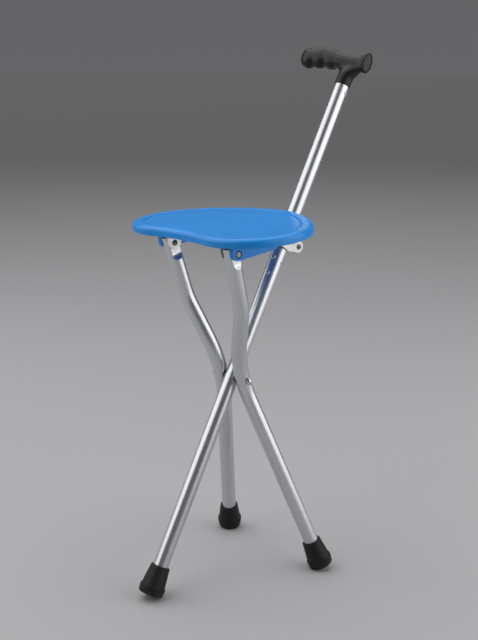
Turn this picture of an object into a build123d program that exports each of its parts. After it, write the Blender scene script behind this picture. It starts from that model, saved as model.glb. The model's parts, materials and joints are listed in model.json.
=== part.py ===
from build123d import *
from math import acos, cos, radians, sin, sqrt, tan
import os

# Walking stick seat: a cane whose seat and pair of legs fold flat against its shaft.
# Millimetres, +Z up. Every hinge axis lies along Y. The nose of the seat points to +X.
# Built around the pivot bolt, then stood on Z = 0 and centred on its own width in X.

# ---- stance: how the open seat stands ----
pivot_height = 297.0        # pivot bolt above the floor
shaft_rake = 28.9           # shaft from the vertical, top towards +X
leg_rake = 16.9             # plane of the two legs from the vertical, top towards -X
seat_slope = 3.0            # seat rises this much towards its nose
ground_flat = 0.8           # depth of the worn contact flat under each ferrule

# ---- running clearances ----
pin_play = 0.05             # radial play of a pin in its hole
side_play = 0.25            # play between a leg top and each cheek beside it
body_gap = 0.3              # air between curved faces that move past each other
metal_air = 1.0             # between a rib and the metal screwed beside it

# ---- tubes ----
shaft_od = 22.0
shaft_wall = 1.5
shaft_reach = 487.5         # pivot to the shaft's upper end, inside the handle
leg_od = 22.0
leg_wall = 1.5

# ---- shape of a leg, measured in the plane of the legs ----
neck_air = 1.3              # between the shaft and a leg where they pass closest
neck_rise = 5.0             # closest point above the pivot bolt
neck_bend = 150.0           # centreline radius of the lower bend
foot_splay = 15.2           # below the neck, away from the shaft plane
waist_splay = 21.5          # between the two bends
top_splay = 4.0             # above the upper bend
shoulder_reach = 120.0      # pivot level to the corner of the upper bend
shoulder_bend = 80.0        # centreline radius of the upper bend
hinge_reach = 206.7         # pivot level to the seat hinge
leg_end_margin = 9.5        # tube beyond the seat hinge
leg_top_thick = 15.0        # pressed flat across Y
flat_drop = 14.5            # pressed flat below the hinge, as far as the folded plate reaches
scoop_radius = 12.0         # runs the pressed flat out into the round tube

# ---- pivot of the legs on the shaft ----
pivot_bolt_d = 6.0
pivot_head_d = 10.0
pivot_head_h = 3.6
pivot_washer_d = 11.0
pivot_washer_t = 1.0
pivot_bush_d = 9.0
saddle_d = 13.0
nut_h = 4.5
nut_thread = 2.7            # bolt inside a domed nut
head_land = 0.25            # upright part of a domed head, of its height

# ---- lining of the shaft, its rivets and the stop ----
liner_play = 0.05
liner_wall = 1.4
liner_low = -24.0           # along the shaft from the pivot
liner_over = 13.5           # liner beyond the stop
rivet_d = 4.0
rivet_head_d = 6.6
rivet_head_h = 1.3
rivet_core_d = 2.2
rivet_bulb_d = 5.6
rivet_slack = 0.6           # head stands this far proud of the tube's flank
upper_rivet_drop = 18.5     # rivets below the stop
side_rivet_drop = 22.5
lower_rivet_drop = 43.5
handle_rivet_drop = 11.5    # below the handle's collar
rivet_clock = 13.0          # rivets are turned this much about the shaft
stop_head_d = 8.0
stop_head_h = 3.4

# ---- ferrules ----
ferrule_length = 42.0
ferrule_top_d = 28.0
ferrule_skirt_d = 35.0
ferrule_base_d = 37.8
ferrule_base_h = 12.5
ferrule_ridge_h = 1.0       # bevelled top of the base
ferrule_ridge_in = 0.4
ferrule_sole_d = 36.2
ferrule_edge = 2.6
ferrule_rim = 1.2           # rounding of the upper lip
ferrule_floor = 8.0         # rubber and disc under the tube
ferrule_mouth = 0.9         # lip stands off the tube
ferrule_mouth_depth = 3.0
ferrule_disc_t = 1.5
sole_groove_d = 22.0
sole_groove_w = 2.0
sole_groove_h = 1.2

# ---- seat, measured from the hinge: X to the nose, Z square to the seat ----
seat_rise = 28.9            # hinge to the top of the seat
seat_skirt = 12.5
seat_panel = 3.0
seat_wall = 3.0
seat_edge = 4.5             # rounding of the upper rim
seat_border = 17.0          # width of the raised border
seat_dish = 1.0             # depth of the panel inside the border
nose_air = 3.0              # between the shaft and the lower edge of the nose
# half the outline from nose to tail: radius and angle of each arc, run on to the hollow tail
nose_r = 71.0
nose_angle = 14.7
flank_r = 198.0
flank_angle = 34.2
side_r = 105.0
side_angle = 40.1
corner_r = 88.0
corner_angle = 30.8
lobe_r = 70.5
lobe_angle = 72.7
rib_t = 2.0
rib_sink = 0.5              # rib and rail run this far into the panel
rib_h = 6.0
rib_y = 34.0
cross_rib_x = (-15.0, 35.0, 85.0)

# ---- hinge of the seat on the legs ----
hinge_bolt_d = 6.0
hinge_head_d = 8.5
hinge_head_h = 2.6
hinge_socket_d = 3.6
hinge_socket_depth = 1.6
hinge_bolt_end = 0.4        # bolt beyond its nut
hinge_nut_d = 9.0
hinge_nut_h = 3.6
rail_t = 7.0                # moulded cheek outside each leg
rail_back = 10.0            # cheek behind the hinge
rail_drop = 8.5             # cheek below the hinge
rail_run_x = 70.0           # end of the rail's long lower edge
rail_run_z = -4.5
rail_end_x = 108.0
rail_pocket_d = 11.0
rail_pocket_depth = 4.0
plate_t = 2.0               # metal cheek inside each leg
plate_half = 12.5
plate_drop = 9.5
plate_foot = 20.0
plate_screw_in = 12.0       # screws from the cheek
hinge_bush_d = 8.5
plug_depth = 4.0
plug_cap = 2.2

# ---- bracket that slides on the shaft ----
slide_z = -28.3             # slide screw below the hinge
sleeve_r = 9.4              # sleeve that runs up the back of the shaft
slide_bolt_d = 5.0
slide_head_d = 8.0
slide_head_h = 2.8
slide_socket_d = 3.0
slide_socket_depth = 1.7
bracket_t = 1.8
bracket_play = 1.2          # beside the shaft
bracket_tail_r = 9.0
bracket_tail_front = 44.0   # where the arm's edges meet the round tail, from +X
bracket_tail_rear = 255.0
bracket_back = 81.3         # ends of its web and corners of its arms, behind the slide screw
bracket_web = 31.3
bracket_step = 26.3
bracket_elbow = 21.3
bracket_step_z = 10.5
bracket_elbow_drop = 3.1    # below the slide screw
bracket_root_z = 14.0
bracket_screw_in = 12.0     # screws from the ends of the web

# ---- small screws that hold metal to the seat ----
screw_d = 3.5
screw_head_d = 7.0
screw_head_h = 2.0
screw_bite = 1.6            # depth of the screw in the moulding

# ---- handle, measured up the shaft from its collar, and along Y ----
handle_socket = 18.0        # shaft inside the handle
collar_r = 12.2
cap_y = -30.5
cap_t = 3.2
cap_half_h = 16.0
cap_half_w = 9.8
cap_rise = 37.5
cap_round = 1.2
notch_r = 7.0
notch_depth = 4.4
notch_ys = (73.5, 49.5)
bump_rise = 28.5            # underside of the finger bumps
# oval cuts across the grip: y, middle above the collar, half height, half width
grip_cuts = (
    (cap_y, cap_rise, cap_half_h, cap_half_w),
    (-24.0, 37.6, 13.2, 9.2),
    (-10.0, 38.0, 11.8, 10.0),
    (10.0, 39.2, 12.2, 11.2),
    (28.0, 41.8, 15.2, 12.2),
    (50.0, 46.2, 17.8, 12.8),
    (73.0, 47.8, 18.8, 12.8),
    (88.0, 47.0, 17.0, 11.6),
    (97.0, 49.3, 12.8, 7.8),
    (101.5, 51.6, 6.5, 3.8),
)
# oval cuts down the neck: above the collar, middle along Y, half width along Y, half width across
neck_cuts = (
    (0.0, 0.0, collar_r, collar_r),
    (8.0, -1.0, 12.5, 12.2),
    (15.0, -3.0, 14.2, 12.0),
    (20.5, -5.0, 19.0, 11.6),
    (27.0, -5.0, 24.0, 10.6),
    (32.0, -3.5, 25.5, 8.8),
)

shaft_r = shaft_od / 2
leg_r = leg_od / 2
bolt_r = pivot_bolt_d / 2
half_turn = 180


# ---------------------------------------------------------------- helpers
def along_y(radius, start, end):
    """Solid cylinder on the Y axis between two values of y."""
    return Pos(0, (start + end) / 2, 0) * Rot(90, 0, 0) * Cylinder(radius, abs(end - start))


def flat_xz(points, y_low, y_high):
    """Plate with its outline in X and Z, between two values of y."""
    face = Plane.XZ * make_face(Polyline(*points, close=True))
    return Pos(0, y_high, 0) * extrude(face, y_high - y_low)


def dome_head(diameter, height):
    """Domed head standing on XY, its rim a short upright land."""
    land = height * head_land
    body = Cylinder(diameter / 2, land, align=(Align.CENTER, Align.CENTER, Align.MIN))
    rise = height - land
    ball_r = ((diameter / 2) ** 2 + rise ** 2) / (2 * rise)
    ball = Pos(0, 0, height - ball_r) * Sphere(ball_r)
    keep = Pos(0, 0, land) * Cylinder(diameter / 2, rise, align=(Align.CENTER, Align.CENTER, Align.MIN))
    return body + (ball & keep)


def on_side(shape, y, side):
    """Stand a shape built on XY against the plane at y, pointing outwards."""
    turn = -90 if side > 0 else 90
    return Pos(0, y, 0) * Rot(turn, 0, 0) * shape


def other_side(shape):
    """The same piece on the -Y side."""
    return mirror(shape, about=Plane.XZ)


# ---------------------------------------------------------------- layout
shaft_frame = Pos(0, 0, pivot_height) * Rot(0, shaft_rake, 0)
legs_frame = Pos(0, 0, pivot_height) * Rot(0, -leg_rake, 0)
seat_frame = legs_frame * Pos(0, 0, hinge_reach) * Rot(0, leg_rake - seat_slope, 0)


def sole_height(tilt):
    """Height of a ferrule's sole centre when its lower edge is ground_flat below the floor."""
    arm = ferrule_sole_d / 2 - ferrule_edge
    return arm * sin(tilt) + ferrule_edge * (1 - cos(tilt)) - ground_flat


# lower straight of a leg, from the neck bend down to the sole
neck_y = shaft_r + leg_r + neck_air
foot_angle = radians(foot_splay)
waist_angle = radians(waist_splay)
top_angle = radians(top_splay)
leg_tilt = acos(cos(foot_angle) * cos(radians(leg_rake)))
low_y = neck_y + neck_bend * (1 - cos(foot_angle))
low_s = neck_rise - neck_bend * sin(foot_angle)
low_height = pivot_height + low_s * cos(radians(leg_rake))
leg_drop = (low_height - sole_height(leg_tilt)) / cos(leg_tilt)
leg_sole_y = low_y + leg_drop * sin(foot_angle)
leg_sole_s = low_s - leg_drop * cos(foot_angle)
foot_frame = legs_frame * Pos(0, leg_sole_y, leg_sole_s) * Rot(foot_splay, 0, 0)

# the same for the shaft
shaft_tilt = radians(shaft_rake)
shaft_drop = (pivot_height - sole_height(shaft_tilt)) / cos(shaft_tilt)
shaft_foot_frame = shaft_frame * Pos(0, 0, -shaft_drop)

# upper part of a leg
mid_y = neck_y + neck_bend * (1 - cos(waist_angle))
mid_s = neck_rise + neck_bend * sin(waist_angle)
shoulder_leg_y = mid_y + (shoulder_reach - mid_s) * tan(waist_angle)
shoulder_tangent = shoulder_bend * tan((waist_angle - top_angle) / 2)
hinge_y = shoulder_leg_y + (hinge_reach - shoulder_reach) * tan(top_angle)
leg_top_s = hinge_reach + leg_end_margin
pivot_leg_y = neck_y + neck_bend - sqrt(neck_bend ** 2 - neck_rise ** 2)
leg_top_half = leg_top_thick / 2

# where the seat meets the shaft
panel_z = seat_rise - seat_panel
skirt_z = seat_rise - seat_skirt
under_z = panel_z - seat_dish
seat_to_shaft = shaft_frame.inverse() * seat_frame


def seat_x_at(shaft_x, seat_z):
    """Place along the seat, at this height, that lies shaft_x behind the shaft's axis."""
    root = (seat_to_shaft * Pos(0, 0, seat_z)).position.X
    run = (seat_to_shaft * Pos(1, 0, seat_z)).position.X - root
    return (shaft_x - root) / run


nose_x = seat_x_at(-shaft_r - nose_air, skirt_z)
slide_x = seat_x_at(shaft_r + body_gap + sleeve_r, slide_z)
slide_at = (seat_to_shaft * Pos(slide_x, 0, slide_z)).position.Z
stop_lever = sqrt((sleeve_r + body_gap) ** 2 - (sleeve_r + body_gap - stop_head_h) ** 2)
stop_at = slide_at - stop_lever - stop_head_d / 2
liner_high = stop_at + liner_over
bracket_back_x = slide_x - bracket_back
bracket_web_x = slide_x - bracket_web
bracket_middle_x = (bracket_back_x + bracket_web_x) / 2

# where the handle meets the shaft
collar_at = shaft_reach - handle_socket
handle_rivet_at = collar_at - handle_rivet_drop
collar_frame = shaft_frame * Pos(0, 0, collar_at)

bodies = {"stick": {}, "legs": {}, "seat": {}}


def add(body, name, shape, frame):
    bodies[body][name] = frame * shape


# ---------------------------------------------------------------- shaft
def radial(at, azimuth):
    """Frame on the shaft's surface, its Z pointing straight out."""
    return Pos(0, 0, at) * Rot(0, 0, azimuth) * Pos(shaft_r, 0, 0) * Rot(0, 90, 0)


front = half_turn + rivet_clock
side = front + half_turn / 2
rear = 0
liner_rivet_spots = ((stop_at - lower_rivet_drop, front), (stop_at - upper_rivet_drop, front),
                     (stop_at - side_rivet_drop, side))


def tube_span(radius, low, high):
    return Pos(0, 0, low) * Cylinder(radius, high - low, align=(Align.CENTER, Align.CENTER, Align.MIN))


def radial_hole(at, azimuth):
    depth = shaft_wall + liner_play + liner_wall
    return radial(at, azimuth) * Pos(0, 0, -depth / 2) * Cylinder(rivet_d / 2, depth + 2)


shaft_low = -shaft_drop + ferrule_floor
liner_r = shaft_r - shaft_wall - liner_play
shaft = tube_span(shaft_r, shaft_low, shaft_reach) - tube_span(shaft_r - shaft_wall, shaft_low, shaft_reach)
liner = tube_span(liner_r, liner_low, liner_high) - tube_span(liner_r - liner_wall, liner_low, liner_high)
pivot_hole = along_y(bolt_r + pin_play, -shaft_od, shaft_od)
rivet_holes = [radial_hole(at, azimuth) for at, azimuth in liner_rivet_spots]
rivet_holes.append(radial_hole(stop_at, rear))
shaft = shaft - pivot_hole - rivet_holes - radial_hole(handle_rivet_at, side)
liner = liner - pivot_hole - rivet_holes
add("stick", "main_shaft", shaft, shaft_frame)
add("stick", "shaft_liner", liner, shaft_frame)


def hollow_rivet(grip):
    """Blind rivet: domed head with an open core, shank through the grip, bulb behind it."""
    head = dome_head(rivet_head_d, rivet_head_h) & Pos(0, 0, -1) * Cylinder(shaft_od, 4 * rivet_head_h)
    shank = Pos(0, 0, -grip) * Cylinder(rivet_d / 2, grip, align=(Align.CENTER, Align.CENTER, Align.MIN))
    bulb = Pos(0, 0, -grip) * Cylinder(rivet_bulb_d / 2, rivet_bulb_d / 2,
                                       align=(Align.CENTER, Align.CENTER, Align.MAX))
    core = Pos(0, 0, rivet_head_h - grip) * Cylinder(rivet_core_d / 2, grip,
                                                     align=(Align.CENTER, Align.CENTER, Align.MIN))
    return head + shank + bulb - core


def seated_on_shaft(shape, at, azimuth, inner_radius):
    """Set a fastener on the shaft and trim its head and bulb to the tube's round faces."""
    placed = radial(at, azimuth) * Pos(0, 0, -head_sink) * shape
    wall = tube_span(shaft_r, at - shaft_od, at + shaft_od) - tube_span(inner_radius, at - shaft_od, at + shaft_od)
    plug = radial(at, azimuth) * Pos(0, 0, -shaft_r / 2) * Cylinder(rivet_d / 2, shaft_r)
    return placed - (wall - plug)


head_sink = shaft_r - sqrt(shaft_r ** 2 - (rivet_head_d / 2) ** 2)
liner_bore_r = liner_r - liner_wall
lined_grip = shaft_r - liner_bore_r - head_sink + rivet_slack
bare_grip = shaft_wall - head_sink + rivet_slack
liner_rivets = [seated_on_shaft(hollow_rivet(lined_grip), at, azimuth, liner_bore_r)
                for at, azimuth in liner_rivet_spots]
add("stick", "liner_rivets", Compound(children=liner_rivets), shaft_frame)
handle_rivet = seated_on_shaft(hollow_rivet(bare_grip), handle_rivet_at, side, shaft_r - shaft_wall)
add("stick", "handle_rivet", handle_rivet, shaft_frame)

# button that the sliding bracket comes to rest on
stop_button = dome_head(stop_head_d, stop_head_h + head_sink)
stop_button += Pos(0, 0, -lined_grip) * Cylinder(rivet_d / 2, lined_grip,
                                                 align=(Align.CENTER, Align.CENTER, Align.MIN))
add("stick", "seat_stop", seated_on_shaft(stop_button, stop_at, rear, liner_bore_r), shaft_frame)


# ---------------------------------------------------------------- ferrules
def ferrule(tube_r):
    """Rubber foot on a tube, built on its sole: a tapered sleeve on a wider ribbed base."""
    ridge_low = ferrule_base_h - ferrule_ridge_h
    ridge_r = ferrule_base_d / 2 - ferrule_ridge_in
    profile = Polyline((0, 0), (ferrule_sole_d / 2, 0), (ferrule_base_d / 2, ridge_low),
                       (ridge_r, ferrule_base_h), (ferrule_skirt_d / 2, ferrule_base_h),
                       (ferrule_top_d / 2, ferrule_length), (0, ferrule_length), close=True)
    body = revolve(Plane.XZ * make_face(profile), Axis.Z)
    sole_edge = body.edges().filter_by(GeomType.CIRCLE).sort_by(Axis.Z)[0]
    body = fillet(sole_edge, ferrule_edge)
    rim = body.edges().filter_by(GeomType.CIRCLE).sort_by(Axis.Z)[-1]
    body = fillet(rim, ferrule_rim)
    body -= tube_span(tube_r, ferrule_floor - ferrule_disc_t, ferrule_length)
    mouth = Pos(0, 0, ferrule_length - ferrule_mouth_depth / 2)
    body -= mouth * Cone(tube_r, tube_r + ferrule_mouth, ferrule_mouth_depth)
    groove = Cylinder(sole_groove_d / 2, sole_groove_h) - Cylinder(sole_groove_d / 2 - sole_groove_w, sole_groove_h)
    return body - Pos(0, 0, sole_groove_h / 2) * groove


def ferrule_disc(tube_r):
    return tube_span(tube_r, ferrule_floor - ferrule_disc_t, ferrule_floor)


floor_span = 4 * pivot_height
floor_cut = Pos(0, 0, -floor_span / 2) * Box(floor_span, floor_span, floor_span)
shaft_ferrule = shaft_foot_frame * ferrule(shaft_r) - floor_cut
left_ferrule = foot_frame * ferrule(leg_r) - floor_cut
bodies["stick"]["shaft_ferrule"] = shaft_ferrule
add("stick", "shaft_ferrule_disc", ferrule_disc(shaft_r), shaft_foot_frame)


# ---------------------------------------------------------------- legs
def leg_path():
    """Centreline of the +Y leg, from its ferrule to past the hinge, drawn as (y, s)."""
    foot = (leg_sole_y - ferrule_floor * sin(foot_angle), leg_sole_s + ferrule_floor * cos(foot_angle))
    low = Line(foot, (low_y, low_s))
    neck = JernArc(low @ 1, low % 1, neck_bend, -(foot_splay + waist_splay))
    straight = (shoulder_reach - mid_s) / cos(waist_angle) - shoulder_tangent
    middle = Line(neck @ 1, neck @ 1 + (neck % 1) * straight)
    shoulder = JernArc(middle @ 1, middle % 1, shoulder_bend, waist_splay - top_splay)
    rest = (leg_top_s - shoulder_reach) / cos(top_angle) - shoulder_tangent
    top = Line(shoulder @ 1, shoulder @ 1 + (shoulder % 1) * rest)
    return Wire([low, neck, middle, shoulder, top])


def leg_rod(radius):
    """Solid rod along the leg, in the legs' frame."""
    path = Plane(origin=(0, 0, 0), x_dir=(0, 1, 0), z_dir=(1, 0, 0)) * leg_path()
    start = Plane(origin=path @ 0, z_dir=path % 0)
    return sweep(start * Circle(radius), path)


def pressed(rod, half, scoop):
    """Press the rod's top flat on both sides, with a scoop that runs out below."""
    low = hinge_reach - flat_drop
    tall = 3 * leg_od
    for side_sign in (1, -1):
        face = hinge_y + side_sign * half
        slab = Pos(0, face + side_sign * scoop, low + tall / 2) * Box(2 * leg_od, 2 * scoop, tall)
        roll = Pos(0, face + side_sign * scoop, low) * Rot(0, 90, 0) * Cylinder(scoop, 2 * leg_od)
        rod = rod - slab - roll
    return rod


leg_outer = pressed(leg_rod(leg_r), leg_top_half, scoop_radius)
leg_inner = pressed(leg_rod(leg_r - leg_wall), leg_top_half - leg_wall, scoop_radius + leg_wall)
hinge_at = Pos(0, 0, hinge_reach)
pivot_bore = along_y(bolt_r + pin_play, 0, 3 * leg_od)
hinge_bore = hinge_at * along_y(hinge_bolt_d / 2 + pin_play, 0, 6 * leg_od)
pivot_bush_bore = along_y(pivot_bush_d / 2, pivot_leg_y - leg_r - 2, pivot_leg_y + leg_r + 2)
leg = leg_outer - leg_inner - pivot_bore - hinge_bore
pivot_bush = (pivot_bush_bore & leg_inner) - pivot_bore
hinge_bush = hinge_at * along_y(hinge_bush_d / 2, hinge_y - leg_top_half + leg_wall,
                                hinge_y + leg_top_half - leg_wall) - hinge_bore

# plug that closes the leg's upper end
top_plane = Pos(0, hinge_y + leg_end_margin * tan(top_angle), leg_top_s) * Rot(-top_splay, 0, 0)
plug_body = leg_inner & top_plane * Pos(0, 0, -plug_depth / 2) * Box(2 * leg_od, 2 * leg_od, plug_depth)
cap_outline = Pos(0, 0, plug_cap / 2) * Cylinder(leg_r, plug_cap)
cap_slab = Box(2 * leg_od, leg_top_thick, 4 * leg_end_margin)
plug_lid = (top_plane * cap_outline) & (Pos(0, hinge_y, leg_top_s) * cap_slab)
leg_plug = plug_body + plug_lid

left_pieces = {
    "leg": legs_frame * leg,
    "leg_pivot_bush": legs_frame * pivot_bush,
    "leg_hinge_bush": legs_frame * hinge_bush,
    "leg_plug": legs_frame * leg_plug,
    "ferrule": left_ferrule,
    "ferrule_disc": foot_frame * ferrule_disc(leg_r),
}
for name, shape in left_pieces.items():
    bodies["legs"]["left_" + name] = shape
    bodies["legs"]["right_" + name] = other_side(shape)

# ---------------------------------------------------------------- pivot bolt
saddle_face = shaft_r + neck_air - body_gap
saddle = along_y(saddle_d / 2, shaft_r / 2, saddle_face) - along_y(bolt_r + pin_play, 0, shaft_od)
saddle = legs_frame * saddle - shaft_frame * tube_span(shaft_r, -shaft_od, shaft_od)
bodies["stick"]["left_pivot_saddle"] = saddle
bodies["stick"]["right_pivot_saddle"] = other_side(saddle)

washer_reach = neck_rise + pivot_washer_d / 2
washer_low = neck_y + neck_bend - sqrt(neck_bend ** 2 - washer_reach ** 2) + leg_r + body_gap
washer_high = washer_low + pivot_washer_t
washer = along_y(pivot_washer_d / 2, washer_low, washer_high) - along_y(bolt_r + pin_play, 0, 2 * washer_high)
add("stick", "left_pivot_washer", washer, shaft_frame)
add("stick", "right_pivot_washer", other_side(washer), shaft_frame)
bolt_tip = washer_high + nut_thread
pivot_bolt = along_y(bolt_r, -washer_high, bolt_tip)
pivot_bolt += on_side(dome_head(pivot_head_d, pivot_head_h), -washer_high, -1)
add("stick", "pivot_bolt", pivot_bolt, shaft_frame)
cap_nut = on_side(dome_head(pivot_head_d, nut_h), washer_high, 1) - along_y(bolt_r, 0, bolt_tip)
add("stick", "pivot_nut", cap_nut, shaft_frame)

# ---------------------------------------------------------------- handle
def grip_cut(y, rise, half_h, half_w):
    return Plane(origin=(0, y, rise), x_dir=(1, 0, 0), z_dir=(0, 1, 0)) * Ellipse(half_w, half_h)


def neck_cut(rise, middle_y, half_y, half_w):
    return Pos(0, middle_y, rise) * Ellipse(half_w, half_y)


handle = loft([grip_cut(*cut) for cut in grip_cuts]) + loft([neck_cut(*cut) for cut in neck_cuts])
for notch_y in notch_ys:
    notch_z = bump_rise + notch_depth - notch_r
    handle -= Pos(0, notch_y, notch_z) * Rot(0, 90, 0) * Cylinder(notch_r, 4 * collar_r)
handle -= tube_span(shaft_r, -handle_socket, handle_socket)
add("stick", "handle", handle, collar_frame)
end_cap = extrude(grip_cut(cap_y, cap_rise, cap_half_h, cap_half_w), -cap_t)
rim_edges = end_cap.edges().sort_by(Axis.Y)[0]
end_cap = fillet(rim_edges, cap_round)
add("stick", "handle_end_cap", end_cap, collar_frame)

# ---------------------------------------------------------------- seat shell
def seat_outline():
    """Outline of the seat in XY: tangent arcs down one side, closed by a hollow tail, and mirrored."""
    arcs = []
    start, heading = Vector(nose_x, 0), Vector(0, 1)
    turned = 0
    for radius, angle in ((nose_r, nose_angle), (flank_r, flank_angle), (side_r, side_angle),
                          (corner_r, corner_angle), (lobe_r, lobe_angle)):
        arcs.append(JernArc(start, heading, radius, angle))
        start, heading = arcs[-1] @ 1, arcs[-1] % 1
        turned += angle
    tail_angle = turned - half_turn
    arcs.append(JernArc(start, heading, start.Y / sin(radians(tail_angle)), -tail_angle))
    return make_face(Curve() + arcs + [mirror(arc, about=Plane.XZ) for arc in arcs])


outline = seat_outline()
def slab_of(face, z_low, z_high):
    return Pos(0, 0, z_low) * extrude(face, z_high - z_low)


shell = slab_of(outline, skirt_z, seat_rise)
shell = fillet(shell.edges().group_by(Axis.Z)[-1], seat_edge)
inside = offset(outline, -seat_wall)
shell -= slab_of(inside, skirt_z - 1, under_z)
shell -= slab_of(offset(outline, -seat_border), seat_rise - seat_dish, seat_rise + 1)

rail_in = hinge_y + leg_top_half + side_play
rail_out = rail_in + rail_t
plate_out = hinge_y - leg_top_half - side_play
plate_in = plate_out - plate_t
rail_outline = ((-rail_back, under_z + rib_sink), (-rail_back, -rail_drop / 2), (-rail_back / 2, -rail_drop),
                (rail_back / 2, -rail_drop), (rail_run_x, rail_run_z), (rail_end_x, under_z + rib_sink))
rail = flat_xz(rail_outline, rail_in, rail_out)
rail -= along_y(rail_pocket_d / 2, rail_out - rail_pocket_depth, rail_out + 1)
rail -= along_y(hinge_bolt_d / 2, rail_in - 1, rail_out)

# thin ribs under the panel, which stop short of the metal that is screwed to it
rib_low = under_z - rib_h
rib_room = slab_of(offset(outline, rib_sink - seat_wall), rib_low, under_z + rib_sink)
bracket_half = shaft_r + bracket_play + bracket_t
plate_rooms = [Pos(0, sign * (plate_out + plate_in - plate_foot) / 2, under_z) * Box(
    2 * (plate_half + metal_air), plate_t + plate_foot + 2 * metal_air, 4 * rib_h) for sign in (1, -1)]
web_room = Pos(bracket_middle_x, 0, under_z) * Box(
    bracket_web_x - bracket_back_x + 2 * metal_air, 2 * (bracket_half + metal_air), 4 * rib_h)
rib_mid = under_z + rib_sink - (rib_h + rib_sink) / 2
cross_ribs = [Pos(x, 0, rib_mid) * Box(rib_t, 2 * nose_x, rib_h + rib_sink) for x in cross_rib_x]
long_ribs = [Pos(0, y, rib_mid) * Box(4 * nose_x, rib_t, rib_h + rib_sink) for y in (rib_y, -rib_y)]
ribs = [(span & rib_room) - plate_rooms - web_room for span in cross_ribs + long_ribs]

# places of the small screws, in the seat's own plane
plate_screw_x = (-plate_half / 2, plate_half / 2)
plate_screw_y = plate_in - plate_screw_in
plate_screw_spots = [(x, y) for x in plate_screw_x for y in (plate_screw_y, -plate_screw_y)]
web_screw_x = (bracket_back_x + bracket_screw_in, bracket_web_x - bracket_screw_in)
bracket_screw_spots = [(x, 0) for x in web_screw_x]

shell += ribs
shell = shell + rail + other_side(rail)
shell -= [Pos(x, y, under_z) * Cylinder(screw_d / 2, 2 * screw_bite)
          for x, y in plate_screw_spots + bracket_screw_spots]
add("seat", "seat_shell", shell, seat_frame)


# ---------------------------------------------------------------- seat hinges
def hinge_plate():
    """Angle plate inside the +Y leg: a rounded cheek and a foot under the seat."""
    arc_z = -plate_drop + plate_half
    cheek = flat_xz(((-plate_half, arc_z), (plate_half, arc_z),
                     (plate_half, under_z), (-plate_half, under_z)), plate_in, plate_out)
    round_end = Pos(0, 0, arc_z) * along_y(plate_half, plate_in, plate_out)
    foot = flat_xz(((-plate_half, under_z - plate_t), (plate_half, under_z - plate_t),
                    (plate_half, under_z), (-plate_half, under_z)), plate_in - plate_foot, plate_out)
    holes = [Pos(x, plate_screw_y, under_z) * Cylinder(screw_d / 2, 4 * plate_t) for x in plate_screw_x]
    return cheek + round_end + foot - along_y(hinge_bolt_d / 2, plate_in - 1, plate_out + 1) - holes


def hinge_bolt():
    head = on_side(dome_head(hinge_head_d, hinge_head_h), plate_in, -1)
    socket = Pos(0, plate_in - hinge_head_h, 0) * Rot(90, 0, 0) * extrude(
        RegularPolygon(hinge_socket_d / 2, 6), hinge_socket_depth, both=True)
    tip = rail_out - rail_pocket_depth + hinge_nut_h + hinge_bolt_end
    return head - socket + along_y(hinge_bolt_d / 2, plate_in, tip)


def hinge_nut():
    nut = extrude(RegularPolygon(hinge_nut_d / 2, 6), hinge_nut_h)
    return on_side(nut, rail_out - rail_pocket_depth, 1) - along_y(hinge_bolt_d / 2, rail_in, rail_out + 1)


for name, shape in {"hinge_plate": hinge_plate(), "hinge_bolt": hinge_bolt(), "hinge_nut": hinge_nut()}.items():
    placed = seat_frame * shape
    bodies["seat"]["left_" + name] = placed
    bodies["seat"]["right_" + name] = other_side(placed)


def small_screw(metal):
    """Screw that comes up through metal of this thickness into the seat."""
    shank = Pos(0, 0, -metal) * Cylinder(screw_d / 2, metal + screw_bite,
                                         align=(Align.CENTER, Align.CENTER, Align.MIN))
    return shank + Pos(0, 0, -metal) * Rot(180, 0, 0) * dome_head(screw_head_d, screw_head_h)


plate_screws = [Pos(x, y, under_z) * small_screw(plate_t) for x, y in plate_screw_spots]
bracket_screws = [Pos(x, y, under_z) * small_screw(bracket_t) for x, y in bracket_screw_spots]
add("seat", "plate_screws", Compound(children=plate_screws), seat_frame)
add("seat", "bracket_screws", Compound(children=bracket_screws), seat_frame)

# ---------------------------------------------------------------- sliding bracket
tail = Pos(slide_x, 0, slide_z)


def on_tail(angle):
    return (slide_x + bracket_tail_r * cos(radians(angle)), slide_z + bracket_tail_r * sin(radians(angle)))


arm_outline = ((bracket_back_x, under_z), (bracket_web_x, under_z), (slide_x - bracket_step, bracket_step_z),
               on_tail(bracket_tail_front), on_tail(bracket_tail_rear),
               (slide_x - bracket_elbow, slide_z - bracket_elbow_drop), (bracket_back_x, bracket_root_z))
arm = flat_xz(arm_outline, bracket_half - bracket_t, bracket_half)
arm += tail * along_y(bracket_tail_r, bracket_half - bracket_t, bracket_half)
web = Pos(bracket_middle_x, 0, under_z - bracket_t / 2) * Box(
    bracket_web_x - bracket_back_x, 2 * bracket_half, bracket_t)
bracket = arm + other_side(arm) + web
bracket -= tail * along_y(slide_bolt_d / 2, -2 * bracket_half, 2 * bracket_half)
bracket -= [Pos(x, y, under_z) * Cylinder(screw_d / 2, 4 * bracket_t) for x, y in bracket_screw_spots]
add("seat", "slide_bracket", bracket, seat_frame)

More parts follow.
